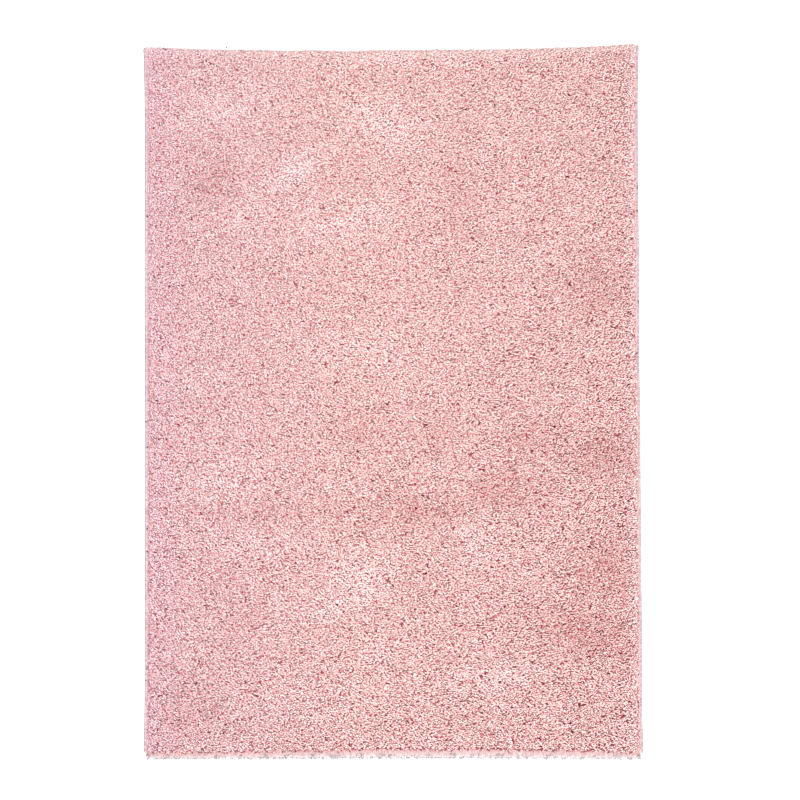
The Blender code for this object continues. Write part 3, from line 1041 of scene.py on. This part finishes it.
def stitchMesh():
    # one turn of yarn around the bead: a ridge outside and two feet on the core
    shape, thick = edging, edging["threadHeight"]
    half = np.array([0, shape["threadWidth"] / 2, 0])
    corners, facts = [], []
    for k in range(shape["sides"]):
        turn = k / shape["sides"]
        place, facing = roundAt(turn, shape["beadWidth"] - 2 * thick, shape["beadHeight"] - 2 * thick)
        place[1] = shape["slant"] * math.sin(2 * math.pi * turn)
        corners += [place - half, place + facing * thick, place + half]
        facts += [(abs(2 * turn - 1), corner, math.cos(2 * math.pi * turn)) for corner in range(3)]
    count = len(corners)
    faces = [(3 * k + c, 3 * k + (c + 1) % 3, (3 * k + 3 + (c + 1) % 3) % count, (3 * k + 3 + c) % count)
             for k in range(shape["sides"]) for c in range(3)]
    return markEdging(meshFrom("stitch", corners, faces), facts)


def beadCore(path):
    shape = edging
    share, sides = shape["coreShare"], shape["sides"]
    corners, facts = [], []
    for point in path:
        for turn in np.arange(sides) / sides:
            place = roundAt(turn, shape["beadWidth"] * share, shape["beadHeight"] * share)[0]
            corners.append(point + place)
            facts.append((abs(2 * turn - 1), 2 * turn, math.cos(2 * math.pi * turn)))
    rings = len(path)
    faces = [(sides * j + k, sides * j + sides + k, sides * j + sides + (k + 1) % sides,
              sides * j + (k + 1) % sides) for j in range(rings - 1) for k in range(sides)]
    faces += [tuple(range(sides)), tuple(reversed(range(sides * (rings - 1), sides * rings)))]
    mesh = markEdging(meshFrom("core", corners, faces), facts)
    floatAttribute(mesh, "shade", np.full(len(corners), shape["coreShade"]))
    vectorAttribute(mesh, "root", np.repeat(path, sides, axis=0))
    return mesh


def wrapTree():
    tree, given = newTree("wrapEdge", [
        ("Path", "Geometry"), ("Stitch", "Object"), ("Core", "Object"), ("Pitch", "Float"),
        ("Seed", "Int"), ("Yarn", "Material")])
    curve = addNode(tree, "GeometryNodeMeshToCurve", {0: given["Path"]})
    even = addNode(tree, "GeometryNodeResampleCurve", {"Curve": curve, "Length": given["Pitch"]},
                   mode="LENGTH")
    points = addNode(tree, "GeometryNodeCurveToPoints", {0: even}, mode="EVALUATED")
    place = addNode(tree, "GeometryNodeInputPosition")
    marked = storedValue(tree, points, "root", place, "FLOAT_VECTOR", "POINT")
    facing = addNode(tree, "FunctionNodeAlignRotationToVector", {"Vector": points.outputs["Tangent"]},
                     axis="Y", pivot_axis="Z")
    loose = randomValue(tree, *edging["loose"], given["Seed"], "FLOAT_VECTOR")
    stitch = addNode(tree, "GeometryNodeObjectInfo", {0: given["Stitch"]})
    wound = addNode(tree, "GeometryNodeInstanceOnPoints", {
        "Points": marked, "Instance": stitch.outputs["Geometry"], "Rotation": facing, "Scale": loose})
    shaded = storedValue(tree, wound, "shade", randomValue(tree, 0.0, 1.0, given["Seed"]))
    core = addNode(tree, "GeometryNodeObjectInfo", {0: given["Core"]})
    both = addNode(tree, "GeometryNodeJoinGeometry", {0: shaded})
    tree.links.new(core.outputs["Geometry"], both.inputs[0])
    endTree(tree, both, given["Yarn"])
    return tree


def addSergedEdge(side, tree, material):
    shape = edging
    outer, toward = (leftOuter, 1) if side == "left" else (rightOuter, -1)
    low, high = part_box("side_binding_" + side)
    y = np.linspace(low.y + shape["pitch"] / 2, high.y - shape["pitch"] / 2, shape["stations"])
    x = outer(y) + toward * shape["beadWidth"] / 2
    path = np.column_stack([x, y, np.full(len(y), shape["beadHeight"] / 2)])
    line = bpy.data.meshes.new("path")
    line.from_pydata(path.tolist(), [(k, k + 1) for k in range(len(path) - 1)], [])
    stitch, core = newPiece("stitch", stitchMesh()), newPiece("core", beadCore(path))
    values = {"Stitch": stitch, "Core": core, "Pitch": shape["pitch"], "Seed": shape["seed"],
              "Yarn": material}
    piece = applyTree(newPiece("path", line), tree, values, "serged_edge_" + side)
    removeAll([stitch, core])
    layOutForBaking(piece)
    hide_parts("side_binding_" + side)
    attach(piece, "root")
    print("edge", side, "faces", len(piece.data.polygons))
    return piece


wrapping = wrapTree()
edgeYarn = edgingMaterial()
edges = [addSergedEdge(side, wrapping, edgeYarn) for side in ("left", "right")]

backing = {
    "cells": (44, 62),
    "lipLow": 0.0011,  # the cloth is pressed thin where the edging is wound over it
    "lipHigh": 0.0027,
    "lipEnd": 0.0034,  # from the rug's outer side
    "lipStart": 0.0106,
    "lipStep": 0.0004,
    "warp": (0.60, 0.46, 0.40),
    "weft": (0.72, 0.62, 0.55),
    "pilePeek": (0.80, 0.50, 0.49),
    "peekSize": 0.012,
    "peekNoise": (0.45, 0.6),  # the span of a noise over which the pile's yarn comes through
    "threadPitch": 0.0032,
    "fibreShare": 3,  # fibres in a thread
    "sharpEdge": 50,
    "relief": 0.0006,
    "roughness": 0.9,
    "specular": 0.5,
    "cutWidth": 1.60,
    "cutLength": 2.27,
}


def backingMaterial():
    # a plain weave, seen from below with rows of the pile's yarn in it
    look = backing
    material, tree, shader, place = newMaterial("backingWeave")
    split = axesOf(tree, place)
    rate = math.pi / look["threadPitch"]
    waves = [mathOf(tree, "SINE", product(tree, split[axis], rate)) for axis in ("X", "Y")]
    over = rangeOf(tree, product(tree, *waves), (-1, 1))
    woven = colourMix(tree, over, look["warp"], look["weft"])
    rows = product(tree, waves[0], waves[0])
    peeks = rangeOf(tree, noiseOf(tree, place, look["peekSize"]), look["peekNoise"])
    patchy = product(tree, peeks, rows)
    colour = colourMix(tree, patchy, woven, look["pilePeek"])
    fibres = noiseOf(tree, place, look["threadPitch"] / look["fibreShare"])
    finishMaterial(tree, shader, look, colour, mathOf(tree, "ADD", over, fibres))
    return material


def addBackingCloth(material):
    shape = backing
    across, along = shape["cells"]
    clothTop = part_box("ground_cloth")[1].z
    lip = (shape["lipLow"], shape["lipHigh"])
    inner = shape["lipStart"] + shape["lipStep"]
    columns = [(0, shape["lipEnd"], *lip), (0, shape["lipStart"], *lip)]
    columns += [(k / across, inner, 0, clothTop) for k in range(across + 1)]
    columns += [(1, shape["lipStart"], *lip), (1, shape["lipEnd"], *lip)]
    wide, layers = len(columns), ([], [])
    for t in np.linspace(0, 1, along + 1):
        for share, inset, low, high in columns:
            x, y = betweenEdges(share, t, inset, 0, 0)
            layers[0].append((x, y, low))
            layers[1].append((x, y, high))
    count = len(layers[0])
    faces = []
    for k in range(wide * along):
        if k % wide != wide - 1:
            faces.append((k, k + wide, k + wide + 1, k + 1))
            faces.append((count + k, count + k + 1, count + k + wide + 1, count + k + wide))
    rim = [*range(wide), *range(2 * wide - 1, count, wide), *range(count - 2, count - wide - 1, -1),
           *range(count - 2 * wide, 0, -wide)]
    for k, start in enumerate(rim):
        end = rim[(k + 1) % len(rim)]
        faces.append((start, end, count + end, count + start))
    mesh = meshFrom("backing_cloth", layers[0] + layers[1], faces)
    mesh.set_sharp_from_angle(angle=math.radians(shape["sharpEdge"]))
    mesh.materials.append(material)
    piece = newPiece("backing_cloth", mesh)
    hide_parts("ground_cloth")
    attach(piece, "root")
    return piece


cloth = addBackingCloth(backingMaterial())
print("backing cloth laid")

studio = {
    "floorColour": (0.73, 0.73, 0.73),
    "floorSize": 8.0,
    "floorDrop": 0.0004,
    "floorRoughness": 0.9,
    "skyStrength": 1.05,
    "keySize": 3.5,
    "keyPlace": (1.4, -1.9, 7.8),
    "keyPower": 1100.0,
}


def addStudio():
    half = studio["floorSize"] / 2
    corners = [(a * half, b * half, -studio["floorDrop"]) for a, b in ((-1, -1), (1, -1), (1, 1), (-1, 1))]
    floor = newPiece("studio_floor", meshFrom("studio_floor", corners, [(0, 1, 2, 3)]))
    material, _, shader, _ = newMaterial("studioFloor")
    shader.inputs["Base Color"].default_value = (*studio["floorColour"], 1)
    shader.inputs["Roughness"].default_value = studio["floorRoughness"]
    floor.data.materials.append(material)
    world = bpy.data.worlds.new("studioSky")
    world.use_nodes = True
    sky = world.node_tree.nodes["Background"].inputs
    sky["Color"].default_value = (1, 1, 1, 1)
    sky["Strength"].default_value = studio["skyStrength"]
    scene.world = world
    lamp = bpy.data.lights.new("keyLamp", "AREA")
    lamp.size = studio["keySize"]
    lamp.energy = studio["keyPower"]
    key = newPiece("keyLamp", lamp)
    key.location = studio["keyPlace"]
    key.rotation_euler = (-Vector(studio["keyPlace"])).to_track_quat("-Z", "Y").to_euler()
    scene.view_settings.view_transform = "Standard"


addStudio()
print("floor and lights set")
